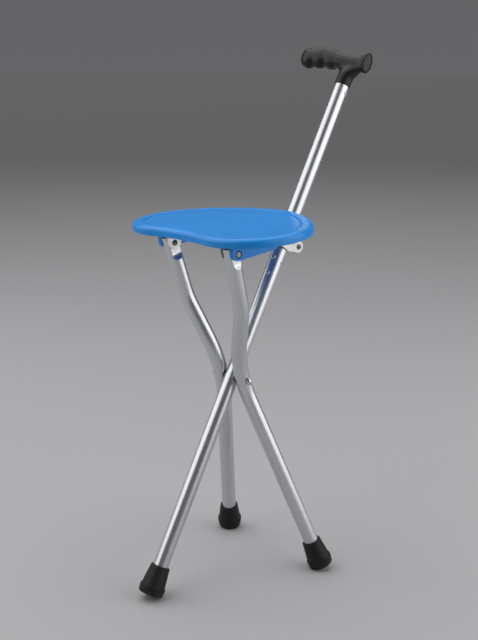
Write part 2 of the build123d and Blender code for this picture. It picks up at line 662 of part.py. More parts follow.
sleeve_half = bracket_half - bracket_t
sleeve = tail * (along_y(sleeve_r, -sleeve_half, sleeve_half) - along_y(slide_bolt_d / 2, -shaft_od, shaft_od))
add("seat", "slide_sleeve", sleeve, seat_frame)
slide_head = on_side(dome_head(slide_head_d, slide_head_h), -bracket_half, -1)
slide_socket = Pos(0, -bracket_half - slide_head_h, 0) * Rot(90, 0, 0) * extrude(
    RegularPolygon(slide_socket_d / 2, 6), slide_socket_depth, both=True)
slide_tip = bracket_half + nut_thread
slide_bolt = tail * (slide_head - slide_socket + along_y(slide_bolt_d / 2, -bracket_half, slide_tip))
add("seat", "slide_bolt", slide_bolt, seat_frame)
slide_nut = on_side(dome_head(slide_head_d, nut_h), bracket_half, 1) - along_y(slide_bolt_d / 2, 0, slide_tip)
add("seat", "slide_nut", tail * slide_nut, seat_frame)

# ---------------------------------------------------------------- stand it in place and write
ends = [bodies["stick"][name].bounding_box() for name in ("shaft_ferrule", "handle", "handle_end_cap")]
centre_x = (min(end.min.X for end in ends) + max(end.max.X for end in ends)) / 2
stand = Pos(-centre_x, 0, 0)

os.makedirs("parts", exist_ok=True)
for pieces in bodies.values():
    for name, shape in pieces.items():
        export_step(stand * shape, "parts/" + name + ".step")

slide_low = stand * seat_frame * Pos(slide_x, 0, slide_z)
for label, frame in {"leg pivot": stand * legs_frame, "seat hinge": stand * seat_frame,
                     "slide screw": slide_low}.items():
    print(label, [round(value, 3) for value in frame.position])
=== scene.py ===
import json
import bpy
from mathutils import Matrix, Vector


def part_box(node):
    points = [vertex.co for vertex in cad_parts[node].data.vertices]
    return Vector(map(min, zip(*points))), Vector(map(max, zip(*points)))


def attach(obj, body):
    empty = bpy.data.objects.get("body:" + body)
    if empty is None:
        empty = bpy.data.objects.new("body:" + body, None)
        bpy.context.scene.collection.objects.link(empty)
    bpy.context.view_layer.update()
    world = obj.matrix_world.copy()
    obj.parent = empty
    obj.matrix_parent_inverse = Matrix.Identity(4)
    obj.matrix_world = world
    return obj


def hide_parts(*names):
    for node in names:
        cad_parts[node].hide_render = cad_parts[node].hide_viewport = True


bl_info = {
    "name": "Walking Stick Seat",
    "version": (1, 0, 0),
    "blender": (4, 5, 0),
    "location": "3D View > Sidebar > Stick Seat",
    "description": "Dresses a folding walking stick seat: tubes, grip, seat, feet and fittings",
    "category": "Object",
}

from math import acos, copysign, cos, pi, radians, sin, sqrt, tan

import bmesh
import bpy
from bpy.props import FloatProperty, FloatVectorProperty, IntProperty, PointerProperty
from mathutils import Matrix, Vector

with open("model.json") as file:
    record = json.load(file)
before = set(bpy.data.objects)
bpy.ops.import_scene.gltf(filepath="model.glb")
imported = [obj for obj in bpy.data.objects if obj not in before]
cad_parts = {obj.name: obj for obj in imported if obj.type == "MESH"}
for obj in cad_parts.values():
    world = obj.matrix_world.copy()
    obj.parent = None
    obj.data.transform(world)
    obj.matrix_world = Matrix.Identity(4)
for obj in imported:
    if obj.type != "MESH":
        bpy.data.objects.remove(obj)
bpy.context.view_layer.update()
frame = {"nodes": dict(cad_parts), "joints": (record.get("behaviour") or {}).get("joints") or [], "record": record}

# Pieces are drawn in millimetres, in the frame of what carries them, and then stood in place.
MM = Matrix.Scale(0.001, 4)
PIVOT = Vector(frame["joints"][0]["pos_m"])
HINGE = Vector(frame["joints"][1]["pos_m"])


def leaning(origin, degrees):
    """A frame at this point, its Z leaning towards +X."""
    return Matrix.Translation(origin) @ Matrix.Rotation(radians(degrees), 4, "Y")


SHAFT_RAKE = 28.9
LEG_RAKE = 16.9
SEAT_SLOPE = 3.0
SHAFT = leaning(PIVOT, SHAFT_RAKE)
LEGS = leaning(PIVOT, -LEG_RAKE)
SEAT = leaning(HINGE, -SEAT_SLOPE)
HERE = Matrix.Identity(4)
SIDES = (("left", 1), ("right", -1))
ACROSS = {1: HERE, -1: Matrix.Scale(-1, 4, (0, 1, 0))}


# -------------------- lines that the pieces share
SOLE_D, SOLE_EDGE, SOLE_WORN, FOOT_FLOOR = 36.2, 2.6, 0.8, 8.0


def sole_height(tilt):
    """Middle of a tilted sole above the floor, when its low edge is worn flat."""
    return (SOLE_D / 2 - SOLE_EDGE) * sin(tilt) + SOLE_EDGE * (1 - cos(tilt)) - SOLE_WORN


TUBE_R = 11.0
SHAFT_TILT = radians(SHAFT_RAKE)
SHAFT_DROP = (PIVOT.z * 1000 - sole_height(SHAFT_TILT)) / cos(SHAFT_TILT)
SHAFT_REACH = 487.5
GRIP_SOCKET = 18.0

# a leg in the legs' frame, from its foot through the neck beside the shaft to the shoulder
FOOT_SPLAY, WAIST_SPLAY, TOP_SPLAY = radians(15.2), radians(21.5), radians(4.0)
NECK_Y, NECK_RISE, NECK_BEND = 2 * TUBE_R + 1.3, 5.0, 150.0
SHOULDER_REACH, SHOULDER_BEND = 120.0, 80.0
HINGE_REACH = (HINGE - PIVOT).length * 1000
LEG_END = 9.5
LEG_TILT = acos(cos(FOOT_SPLAY) * cos(radians(LEG_RAKE)))
LOW_Y = NECK_Y + NECK_BEND * (1 - cos(FOOT_SPLAY))
LOW_RISE = NECK_RISE - NECK_BEND * sin(FOOT_SPLAY)
LEG_DROP = (PIVOT.z * 1000 + LOW_RISE * cos(radians(LEG_RAKE)) - sole_height(LEG_TILT)) / cos(LEG_TILT)
LEG_SOLE = Vector((0, LOW_Y + LEG_DROP * sin(FOOT_SPLAY), LOW_RISE - LEG_DROP * cos(FOOT_SPLAY)))
MID_RISE = NECK_RISE + NECK_BEND * sin(WAIST_SPLAY)
SHOULDER_TANGENT = SHOULDER_BEND * tan((WAIST_SPLAY - TOP_SPLAY) / 2)
SHOULDER_Y = (NECK_Y + NECK_BEND * (1 - cos(WAIST_SPLAY))
              + (SHOULDER_REACH - MID_RISE) * tan(WAIST_SPLAY))
HINGE_Y = SHOULDER_Y + (HINGE_REACH - SHOULDER_REACH) * tan(TOP_SPLAY)
FLAT_HALF, FLAT_DROP, SCOOP = 7.5, 14.5, 12.0

# the seat's nose, and its cheeks outside the legs
SEAT_RISE, SEAT_SKIRT = 28.9, 12.5
NOSE_X = (((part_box("seat_shell")[1] - HINGE).x * 1000 + (SEAT_RISE - SEAT_SKIRT) * sin(radians(SEAT_SLOPE)))
          / cos(radians(SEAT_SLOPE)))
RAIL_IN = HINGE_Y + FLAT_HALF + 0.25
RAIL_OUT = RAIL_IN + 7.0

# the screw that slides behind the shaft, the stop it rests on, and the rivets below the stop
SLEEVE_R, SLEEVE_GAP, STOP_D, STOP_H, SLIDE_DROP = 9.4, 0.3, 8.0, 3.4, 28.3


def beside_shaft(x, height):
    """Place of a point of the seat's middle plane in the shaft's frame."""
    return SHAFT.inverted() @ SEAT @ Vector((x / 1000, 0, height / 1000)) * 1000


SLIDE_ROOT = beside_shaft(0, -SLIDE_DROP)
SLIDE_RUN = beside_shaft(1, -SLIDE_DROP) - SLIDE_ROOT
SLIDE_AT = (SLIDE_ROOT + SLIDE_RUN * ((TUBE_R + SLEEVE_GAP + SLEEVE_R - SLIDE_ROOT.x) / SLIDE_RUN.x)).z
STOP_AT = (SLIDE_AT - STOP_D / 2
           - sqrt((SLEEVE_R + SLEEVE_GAP) ** 2 - (SLEEVE_R + SLEEVE_GAP - STOP_H) ** 2))
FRONT, FLANK = 193.0, 283.0
RIVETS = ((STOP_AT - 43.5, FRONT), (STOP_AT - 18.5, FRONT), (STOP_AT - 22.5, FLANK))
COLLAR_AT = SHAFT_REACH - GRIP_SOCKET
GRIP_RIVET = (COLLAR_AT - 11.5, FLANK)


# -------------------- settings
LENGTH = {"subtype": "DISTANCE", "unit": "LENGTH"}
FACTOR = {"subtype": "FACTOR", "min": 0, "max": 1}
COLOUR = {"subtype": "COLOR", "size": 4, "min": 0, "max": 1}


class TubeSettings(bpy.types.PropertyGroup):
    diameter: FloatProperty(name="Diameter", description="Outside of the shaft and the legs", default=0.022,
                            min=0.01, **LENGTH)
    pressed: FloatProperty(name="Pressed top", description="Thickness of a leg's flattened top",
                           default=FLAT_HALF * 2 / 1000, min=0.006, **LENGTH)
    colour: FloatVectorProperty(name="Metal", description="Colour of the anodised tubes",
                                default=(0.64, 0.65, 0.67, 1.0), **COLOUR)
    sheen: FloatProperty(name="Roughness", description="How dull the tubes are", default=0.25, **FACTOR)


class SeatSettings(bpy.types.PropertyGroup):
    rise: FloatProperty(name="Rise", description="Hinge bolt to the top of the seat",
                        default=SEAT_RISE / 1000, min=0.01, **LENGTH)
    skirt: FloatProperty(name="Skirt", description="Height of the seat's outer wall",
                         default=SEAT_SKIRT / 1000, min=0.006, **LENGTH)
    rounding: FloatProperty(name="Rim rounding", description="Depth of the rounding of the upper rim",
                            default=0.0058, min=0.001, **LENGTH)
    rounding_run: FloatProperty(name="Rim run", description="Width of the rounding of the upper rim",
                                default=0.0078, min=0.001, **LENGTH)
    border: FloatProperty(name="Border", description="Width of the raised border", default=0.0170,
                          min=0.008, **LENGTH)
    colour: FloatVectorProperty(name="Plastic", description="Colour of the seat moulding",
                                default=(0.011, 0.270, 0.755, 1.0), **COLOUR)
    sheen: FloatProperty(name="Roughness", description="How dull the seat is", default=0.28, **FACTOR)


class GripSettings(bpy.types.PropertyGroup):
    grain: FloatProperty(name="Voxel", description="Size of the cubes that join grip and neck",
                         default=0.00085, min=0.0008, **LENGTH)
    notch: FloatProperty(name="Finger notch", description="Depth of the notches under the grip",
                         default=0.0068, min=0, **LENGTH)
    blend: IntProperty(name="Blend", description="Smoothing passes where the neck meets the grip",
                       default=36, min=0)
    colour: FloatVectorProperty(name="Plastic", description="Colour of grip and plugs",
                                default=(0.009, 0.009, 0.010, 1.0), **COLOUR)


class FootSettings(bpy.types.PropertyGroup):
    length: FloatProperty(name="Length", description="Height of a rubber foot", default=0.042,
                          min=0.02, **LENGTH)
    top: FloatProperty(name="Top diameter", description="Upper end of the tapered sleeve", default=0.028,
                       min=0.02, **LENGTH)
    skirt: FloatProperty(name="Skirt diameter", description="Lower end of the tapered sleeve",
                         default=0.035, min=0.02, **LENGTH)
    base: FloatProperty(name="Base diameter", description="Widest part of a rubber foot", default=0.0378,
                        min=0.02, **LENGTH)
    step: FloatProperty(name="Step", description="Height of the wide base", default=0.0125,
                        min=0.004, **LENGTH)
    colour: FloatVectorProperty(name="Rubber", description="Colour of the feet",
                                default=(0.008, 0.008, 0.009, 1.0), **COLOUR)


class FittingSettings(bpy.types.PropertyGroup):
    bright: FloatVectorProperty(name="Bolts", description="Colour of bolts, nuts and rivets",
                                default=(0.62, 0.62, 0.62, 1.0), **COLOUR)
    plate: FloatVectorProperty(name="Plates", description="Colour of the pressed metal plates",
                               default=(0.66, 0.66, 0.64, 1.0), **COLOUR)


class StageSettings(bpy.types.PropertyGroup):
    lens: FloatProperty(name="Lens", description="Focal length in millimetres on a 36 mm frame",
                        default=58.84, min=20)
    floor: FloatVectorProperty(name="Floor", description="Colour of the floor",
                               default=(0.38, 0.38, 0.39, 1.0), **COLOUR)


class StickSeatSettings(bpy.types.PropertyGroup):
    tubes: PointerProperty(type=TubeSettings, name="Tubes", description="Shaft and legs")
    seat: PointerProperty(type=SeatSettings, name="Seat", description="The seat moulding")
    grip: PointerProperty(type=GripSettings, name="Grip", description="The handle")
    feet: PointerProperty(type=FootSettings, name="Feet", description="The rubber feet")
    fittings: PointerProperty(type=FittingSettings, name="Fittings", description="Plates, bolts and rivets")
    stage: PointerProperty(type=StageSettings, name="Stage", description="Floor, lamps and camera")


# -------------------- finishes
def set_all(thing, settings):
    for key, value in settings.items():
        setattr(thing, key, value)
    return thing


class Tone:
    """A shader socket that Python's operators work on."""

    def __init__(self, finish, socket):
        self.finish = finish
        self.socket = socket

    def maths(self, operation, *values):
        return self.finish.node("Math", {"operation": operation}, dict(enumerate(values)))

    def __add__(self, other):
        return self.maths("ADD", self, other)

    def __sub__(self, other):
        return self.maths("SUBTRACT", self, other)

    def __rsub__(self, other):
        return self.maths("SUBTRACT", other, self)

    def __mul__(self, other):
        return self.maths("MULTIPLY", self, other)

    __radd__ = __add__
    __rmul__ = __mul__

    def between(self, low, high):
        """0 below low, 1 above high and smooth from one to the other."""
        return self.finish.node("MapRange", {"interpolation_type": "SMOOTHSTEP"},
                                {"Value": self, "From Min": low, "From Max": high})


class Finish:
    """The nodes of one material, or of the studio's air."""

    def __init__(self, name, air=False):
        self.owner = (bpy.data.worlds if air else bpy.data.materials).new(name)
        self.owner.use_nodes = True
        self.tree = self.owner.node_tree
        self.tree.nodes.clear()

    def node(self, kind, settings=None, inputs=None, output=0):
        made = set_all(self.tree.nodes.new("ShaderNode" + kind), settings or {})
        for key, value in (inputs or {}).items():
            if isinstance(value, Tone):
                self.tree.links.new(value.socket, made.inputs[key])
            else:
                made.inputs[key].default_value = value
        return Tone(self, made.outputs[output])

    def where(self, attribute=None):
        """Object coordinates, or a piece's own attribute."""
        if attribute:
            return self.node("Attribute", {"attribute_name": attribute}, output="Vector")
        return self.node("TexCoord", output="Object")

    def noise(self, vector, scale, detail=3.0, roughness=0.5):
        """Noise of one scale, or with a scale for each axis."""
        if isinstance(scale, tuple):
            vector = self.node("VectorMath", {"operation": "MULTIPLY"}, {0: vector, 1: scale})
            scale = 1.0
        return self.node("TexNoise", None, {"Vector": vector, "Scale": scale, "Detail": detail,
                                            "Roughness": roughness})

    def part(self, vector, axis):
        return self.node("SeparateXYZ", None, {0: vector}, output=axis)

    def mixed(self, mask, colour, other):
        return self.node("Mix", {"data_type": "RGBA"}, {0: mask, 6: colour, 7: other}, output=2)

    def bump(self, height, distance):
        return self.node("Bump", None, {"Height": height, "Distance": distance})

    def surface(self, **sockets):
        """The finished surface. Underscores in a socket's name stand for spaces."""
        named = {key.replace("_", " "): value for key, value in sockets.items()}
        self.shown_by("Material", self.node("BsdfPrincipled", None, named))
        return self.owner

    def shown_by(self, output, shader):
        out = self.tree.nodes.new("ShaderNodeOutput" + output)
        self.tree.links.new(shader.socket, out.inputs["Surface"])


def shade(colour, factor):
    return tuple(min(1.0, channel * factor) for channel in colour[:3]) + (1.0,)


def drawn_aluminium(name, settings):
    """Satin anodised tube: fine lines along its length, soft clouding and a few handling marks."""
    finish = Finish(name)
    drawn = finish.where("drawn")
    lines = finish.noise(drawn, (1.6, 1.6, 0.012), 4.0, 0.62)
    clouds = finish.noise(drawn, (0.05, 0.05, 0.018), 2.0)
    marks = finish.noise(drawn, (0.9, 0.9, 0.10), 6.0, 0.7).between(0.66, 0.74)
    colour = finish.mixed(lines.between(0.3, 0.7), shade(settings.colour, 0.93),
                          shade(settings.colour, 1.05))
    colour = finish.mixed(marks * 0.35, colour, shade(settings.colour, 0.72))
    rough = settings.sheen + lines * 0.07 + clouds * 0.06 + marks * 0.08
    return finish.surface(Base_Color=colour, Metallic=1.0, Roughness=rough,
                          Normal=finish.bump(lines, 0.000012))


def moulded_blue(name, settings):
    """Semi-gloss seat plastic: fine sparked grain, slight flow shading and light scuffs from use."""
    finish = Finish(name)
    place = finish.where()
    local = finish.where("local")
    grain = finish.noise(place, 1500.0, 2.0, 0.55)
    flow = finish.noise(place, 9.0, 2.0)
    scuff = finish.noise(place, (260.0, 46.0, 90.0), 5.0, 0.62).between(0.60, 0.72)
    worn = finish.part(local, "Z").between(SEAT_RISE - 0.8, SEAT_RISE - 0.1) * scuff
    colour = finish.mixed(flow.between(0.3, 0.7), shade(settings.colour, 0.955),
                          shade(settings.colour, 1.04))
    colour = finish.mixed(worn * 0.16, colour, (0.26, 0.44, 0.70, 1.0))
    rough = settings.sheen + grain * 0.07 + scuff * 0.05
    return finish.surface(Base_Color=colour, Roughness=rough, Specular_IOR_Level=0.34,
                          Normal=finish.bump(grain, 0.00004))


def moulded_black(name, settings):
    """Matt black plastic: pebbled grain that has worn smoother and a little greyer where it is held."""
    finish = Finish(name)
    place = finish.where()
    pebble = finish.node("TexVoronoi", {"feature": "SMOOTH_F1"}, {"Vector": place, "Scale": 1100.0,
                                                                 "Smoothness": 0.6}, output="Distance")
    held = finish.noise(place, 22.0, 3.0).between(0.42, 0.68)
    dust = finish.noise(place, 240.0, 4.0, 0.65).between(0.58, 0.80)
    colour = finish.mixed(held, shade(settings.colour, 0.9), shade(settings.colour, 1.5))
    colour = finish.mixed(dust * 0.15, colour, (0.060, 0.060, 0.063, 1.0))
    rough = 0.33 - held * 0.08 + pebble * 0.08
    return finish.surface(Base_Color=colour, Roughness=rough, Specular_IOR_Level=0.30,
                          Normal=finish.bump(pebble, 0.00007))


def foot_rubber(name, settings):
    """Matt rubber, paler with dust towards the floor and scuffed round the edge of the sole."""
    finish = Finish(name)
    place = finish.where()
    height = finish.part(finish.where("local"), "Z")
    mottle = finish.noise(place, 420.0, 4.0, 0.6)
    grime = finish.noise(place, 70.0, 5.0, 0.65)
    low = (1.0 - height.between(0.5, 13.0)) * grime.between(0.42, 0.70)
    colour = finish.mixed(mottle, shade(settings.colour, 0.85), shade(settings.colour, 1.5))
    colour = finish.mixed(low * 0.35, colour, (0.080, 0.076, 0.070, 1.0))
    rough = 0.46 + mottle * 0.12 + low * 0.15
    return finish.surface(Base_Color=colour, Roughness=rough, Specular_IOR_Level=0.26,
                          Normal=finish.bump(mottle, 0.00010))


def zinc_plate(name, settings):
    """Pressed plate: rolled lines one way, faint spangle and dull handling marks."""
    finish = Finish(name)
    place = finish.where()
    rolled = finish.noise(place, (90.0, 1400.0, 1400.0), 3.0)
    spangle = finish.node("TexVoronoi", None, {"Vector": place, "Scale": 420.0}, output="Distance")
    dull = finish.noise(place, 130.0, 4.0, 0.6).between(0.5, 0.72)
    colour = finish.mixed(spangle, shade(settings.plate, 0.88), shade(settings.plate, 1.08))
    colour = finish.mixed(dull * 0.35, colour, shade(settings.plate, 0.62))
    rough = 0.36 + rolled * 0.10 + dull * 0.12
    return finish.surface(Base_Color=colour, Metallic=1.0, Roughness=rough,
                          Normal=finish.bump(rolled, 0.00002))


def bright_steel(name, settings, gloss=0.13, tone=1.0):
    """Plated fastener with turning marks and a little tarnish. A low tone makes it darker, as painted shade."""
    finish = Finish(name)
    place = finish.where()
    turning = finish.noise(place, 1800.0, 2.0)
    tarnish = finish.noise(place, 300.0, 4.0, 0.6).between(0.48, 0.70)
    colour = finish.mixed(tarnish * 0.5, shade(settings.bright, tone), shade(settings.bright, tone * 0.6))
    rough = gloss + turning * 0.08 + tarnish * 0.14
    return finish.surface(Base_Color=colour, Metallic=1.0, Roughness=rough,
                          Normal=finish.bump(turning, 0.00001))


def painted_shade_core(name):
    """Steel of a rivet's broken stem, painted nearly black for the shade down in its hollow core."""
    finish = Finish(name)
    soot = finish.noise(finish.where(), 900.0, 3.0)
    colour = finish.mixed(soot, (0.012, 0.012, 0.013, 1.0), (0.05, 0.05, 0.052, 1.0))
    return finish.surface(Base_Color=colour, Metallic=0.6, Roughness=0.55 + soot * 0.15)


def smooth_black(name):
    """Low-friction bearing plastic, polished in rings where it runs."""
    finish = Finish(name)
    rub = finish.noise(finish.where(), (60.0, 900.0, 60.0), 3.0)
    colour = finish.mixed(rub, (0.016, 0.016, 0.017, 1.0), (0.035, 0.035, 0.037, 1.0))
    return finish.surface(Base_Color=colour, Roughness=0.34 + rub * 0.16, Normal=finish.bump(rub, 0.00001))


FINISHES = {}


def mix_finishes(settings):
    """Every finish, by the record's slot, with the rivets' stems and the darker fasteners apart; both are darkened
    as painted shade.
    """
    FINISHES.update({
        "tube_alloy": drawn_aluminium("Drawn aluminium", settings.tubes),
        "blue_plastic": moulded_blue("Blue moulding", settings.seat),
        "black_plastic": moulded_black("Black moulding", settings.grip),
        "foot_rubber": foot_rubber("Foot rubber", settings.feet),
        "plate_steel": zinc_plate("Zinc plate", settings.fittings),
        "bright_steel": bright_steel("Bright steel", settings.fittings),
        "slide_plastic": smooth_black("Bearing plastic"),
        # the rivets' stems are near black: painted shade down in their hollow cores
        "stem": painted_shade_core("Rivet stem"),
        # a darker copy of the bright steel for the hinge and slide fasteners: painted shade
        "painted_shade_steel": bright_steel("Painted shade steel", settings.fittings, gloss=0.16, tone=0.34),
    })


# -------------------- mesh helpers
def note_place(bm):
    """Remember each point's place in its own drawing, in millimetres, for the finishes."""
    layer = bm.verts.layers.float_vector.get("local") or bm.verts.layers.float_vector.new("local")
    for vert in bm.verts:
        vert[layer] = vert.co


def shade_by_angle(bm, sharp):
    for face in bm.faces:
        face.smooth = True
    for edge in bm.edges:
        edge.smooth = edge.is_manifold and edge.calc_face_angle() < radians(sharp)


def set_down(bm, name, place, body, slot, *nodes, sharp=35):
    """Stand a drawing in its place as a finished piece that rides on its body."""
    note_place(bm)
    bmesh.ops.transform(bm, matrix=place @ MM, verts=bm.verts)
    bmesh.ops.recalc_face_normals(bm, faces=bm.faces)
    shade_by_angle(bm, sharp)
    return link_piece(bm, name, body, slot, *nodes)


def loose_object(bm, name):
    """A drawing as an object of the scene."""
    mesh = bpy.data.meshes.new(name)
    bm.to_mesh(mesh)
    bm.free()
    made = bpy.data.objects.new(name, mesh)
    bpy.context.scene.collection.objects.link(made)
    return made


def link_piece(bm, name, body, slot, *nodes):
    piece = loose_object(bm, name)
    piece.data.materials.append(FINISHES[slot])
    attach(piece, body)
    if nodes:
        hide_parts(*nodes)
    return piece


def eased_copy(node, name, body, slot, width):
    """A packed fitting as one joined mesh, its sharp edges eased by a width in millimetres."""
    bm = bmesh.new()
    bm.from_mesh(frame["nodes"][node].data)
    bmesh.ops.remove_doubles(bm, verts=bm.verts, dist=2e-6)
    bmesh.ops.dissolve_limit(bm, angle_limit=radians(0.6), verts=bm.verts, edges=bm.edges)
    shade_by_angle(bm, 30)
    piece = link_piece(bm, name, body, slot, node)
    if width:
        set_all(piece.modifiers.new("Eased edges", "BEVEL"),
                {"width": width / 1000, "segments": 2, "limit_method": "ANGLE", "angle_limit": radians(38),
                 "use_clamp_overlap": True})
    return piece


def turned(profile, steps=56):
    """A shape turned about Z from points of radius and height."""
    bm = bmesh.new()
    points = [bm.verts.new((radius, 0, height)) for radius, height in profile]
    chain = [bm.edges.new(pair) for pair in zip(points, points[1:])]
    bmesh.ops.spin(bm, geom=points + chain, cent=(0, 0, 0), axis=(0, 0, 1), angle=2 * pi, steps=steps,
                   use_merge=True)
    bmesh.ops.remove_doubles(bm, verts=bm.verts, dist=1e-4)
    return bm


def arc_points(centre_r, centre_z, radius, start, end, steps):
    """Points of a rounding in a turned profile, angles in degrees from the radius outwards."""
    turns = [radians(start + (end - start) * step / steps) for step in range(steps + 1)]
    return [(centre_r + radius * cos(turn), centre_z + radius * sin(turn)) for turn in turns]


def joined_by(piece, kind, **settings):
    """A piece's mesh after one modifier, as a new drawing."""
    set_all(piece.modifiers.new(kind, kind), settings)
    shown = piece.evaluated_get(bpy.context.evaluated_depsgraph_get())
    bm = bmesh.new()
    bm.from_mesh(shown.to_mesh())
    shown.to_mesh_clear()
    return bm


def close_holes(bm):
    bmesh.ops.holes_fill(bm, edges=[edge for edge in bm.edges if edge.is_boundary], sides=0)


def discard(*objects):
    for thing in objects:
        mesh = thing.data
        bpy.data.objects.remove(thing)
        bpy.data.meshes.remove(mesh)


# -------------------- shaft
class STICKSEAT_OT_shaft(bpy.types.Operator):
    """Make the straight tube that runs from the grip to its own foot"""
    bl_idname = "stickseat.shaft"
    bl_label = "Shaft"

    def execute(self, context):
        tubes = context.scene.stick_seat.tubes
        radius = tubes.diameter * 500
        foot, top = FOOT_FLOOR - SHAFT_DROP, SHAFT_REACH
        bm = bmesh.new()
        bmesh.ops.create_cone(bm, cap_ends=True, segments=72, radius1=radius, radius2=radius,
                              depth=top - foot)
        bmesh.ops.translate(bm, vec=(0, 0, (top + foot) / 2), verts=bm.verts)
        mark_drawn(bm, radius)
        set_down(bm, "shaft_tube", SHAFT, "stick", "tube_alloy", "main_shaft")
        return {"FINISHED"}


def mark_drawn(bm, radius):
    """Unroll the tube: two numbers round it and one along it, in millimetres."""
    bm.normal_update()
    layer = bm.verts.layers.float_vector.new("drawn")
    for vert in bm.verts:
        across = max(-radius, min(radius, vert.co.x))
        beside = sqrt(radius ** 2 - across ** 2)
        vert[layer] = (across, beside if vert.normal.y > 0 else -beside, vert.co.z)


# -------------------- legs
class STICKSEAT_OT_legs(bpy.types.Operator):
    """Bend the two tube legs, press their tops flat and plug them"""
    bl_idname = "stickseat.legs"
    bl_label = "Legs"

    def execute(self, context):
        tubes = context.scene.stick_seat.tubes
        for side, sign in SIDES:
            bm = bent_leg(tubes.diameter * 500)
            press_top(bm, tubes.pressed * 500)
            mark_drawn(bm, tubes.diameter * 500)
            set_down(bm, side + "_leg_tube", LEGS @ ACROSS[sign], "legs", "tube_alloy", side + "_leg",
                     sharp=58)
            eased_copy(side + "_leg_plug", side + "_plug", "legs", "black_plastic", 0.7)
        return {"FINISHED"}


def bent_leg(radius):
    """The +Y leg in the legs' frame, run out from its foot through two bends."""
    bm = bmesh.new()
    start = LEG_SOLE + Vector((0, -sin(FOOT_SPLAY), cos(FOOT_SPLAY))) * FOOT_FLOOR
    lean = Matrix.Translation(start) @ Matrix.Rotation(FOOT_SPLAY, 4, "X")
    bmesh.ops.create_circle(bm, segments=64, radius=radius, matrix=lean)
    ring = list(bm.edges)
    ring = run_straight(bm, ring, FOOT_SPLAY, LEG_DROP - FOOT_FLOOR, 4)
    ring = run_bend(bm, ring, Vector((0, NECK_Y + NECK_BEND, NECK_RISE)), -(FOOT_SPLAY + WAIST_SPLAY), 34)
    waist = (SHOULDER_REACH - MID_RISE) / cos(WAIST_SPLAY) - SHOULDER_TANGENT
    ring = run_straight(bm, ring, -WAIST_SPLAY, waist, 3)
    middle = sum((vert.co for vert in ring_verts(ring)), Vector()) / len(ring_verts(ring))
    inward = Vector((0, -cos(WAIST_SPLAY), sin(WAIST_SPLAY)))
    ring = run_bend(bm, ring, middle + inward * SHOULDER_BEND, WAIST_SPLAY - TOP_SPLAY, 14)
    rest = (HINGE_REACH + LEG_END - SHOULDER_REACH) / cos(TOP_SPLAY) - SHOULDER_TANGENT
    run_straight(bm, ring, -TOP_SPLAY, rest, 72)
    close_holes(bm)
    return bm


def ring_verts(ring):
    return list({vert for edge in ring for vert in edge.verts})


def end_ring(parts):
    """The edges of an extrusion that bound nothing on their far side."""
    new = {part for part in parts if isinstance(part, bmesh.types.BMVert)}
    return [part for part in parts if isinstance(part, bmesh.types.BMEdge) and set(part.verts) <= new]


def draw_out(bm, ring, move, steps=1):
    """Draw a ring of edges out, each step by the same move."""
    for _ in range(steps):
        ring = end_ring(bmesh.ops.extrude_edge_only(bm, edges=ring)["geom"])
        bmesh.ops.transform(bm, matrix=move, verts=ring_verts(ring))
    return ring


def run_straight(bm, ring, splay, length, steps):
    step = Vector((0, -sin(splay), cos(splay))) * (length / steps)
    return draw_out(bm, ring, Matrix.Translation(step), steps)


def run_bend(bm, ring, centre, angle, steps):
    about = Matrix.Translation(centre)
    return draw_out(bm, ring, about @ Matrix.Rotation(angle / steps, 4, "X") @ about.inverted(), steps)


def press_top(bm, half):
    """Flatten the leg's top on both sides, with a scoop that runs out into the round tube."""
    low = HINGE_REACH - FLAT_DROP
    for vert in bm.verts:
        below = max(0.0, low - vert.co.z)
        if below < SCOOP:
            room = half + SCOOP - sqrt(SCOOP ** 2 - below ** 2)
            vert.co.y = HINGE_Y + max(-room, min(room, vert.co.y - HINGE_Y))


# -------------------- feet
class STICKSEAT_OT_feet(bpy.types.Operator):
    """Turn the three rubber feet and trim their soles level with the floor"""
    bl_idname = "stickseat.feet"
    bl_label = "Feet"

    def execute(self, context):
        feet = context.scene.stick_seat.feet
        radius = context.scene.stick_seat.tubes.diameter * 500
        shaft_sole = SHAFT @ Matrix.Translation((0, 0, -SHAFT_DROP / 1000))
        leg_sole = Matrix.Translation(LEG_SOLE / 1000) @ Matrix.Rotation(FOOT_SPLAY, 4, "X")
        rubber_foot(feet, radius, "shaft_foot", shaft_sole, "stick", "shaft_ferrule")
        for side, sign in SIDES:
            rubber_foot(feet, radius, side + "_foot", LEGS @ ACROSS[sign] @ leg_sole, "legs",
                        side + "_ferrule")
        return {"FINISHED"}


def rubber_foot(feet, tube, name, place, body, node):
    """Tapered sleeve on a wider base, its sole grooved, cut level where it stands on the floor."""
    length, top, skirt, base = feet.length * 1000, feet.top * 500, feet.skirt * 500, feet.base * 500
    step, sole, rim = feet.step * 1000, SOLE_D / 2, 1.2
    profile = [(0, 0.5), (8.2, 0.5), (8.7, 0), (9.0, 0), (9.2, 1.2), (10.8, 1.2), (11.0, 0)]
    profile += [(sole - SOLE_EDGE, 0)]
    profile += arc_points(sole - SOLE_EDGE, SOLE_EDGE, SOLE_EDGE, -90, 0, 6)[1:]
    profile += [(base, step - 1.3)] + arc_points(base - 0.55, step - 0.7, 0.55, 10, 90, 4)
    profile += [(skirt + 0.75, step - 0.2), (skirt + 0.15, step - 0.1), (skirt - 0.05, step + 0.5)]
    profile += arc_points(top - rim, length - rim, rim, 5, 90, 5)
    profile += [(tube + 0.95, length - 0.1), (tube + 0.7, length - 0.6), (tube, length - 3.0)]
    profile += [(tube, FOOT_FLOOR), (0, FOOT_FLOOR)]
    bm = turned(profile, 72)
    floor = (place @ MM).inverted()
    level = floor @ Vector((0, 0, 0))
    upright = (floor.to_3x3() @ Vector((0, 0, 1))).normalized()
    bmesh.ops.bisect_plane(bm, geom=bm.verts[:] + bm.edges[:] + bm.faces[:], plane_co=level,
                           plane_no=upright, clear_inner=True)
    close_holes(bm)
    set_down(bm, name, place, body, "foot_rubber", node, sharp=40)


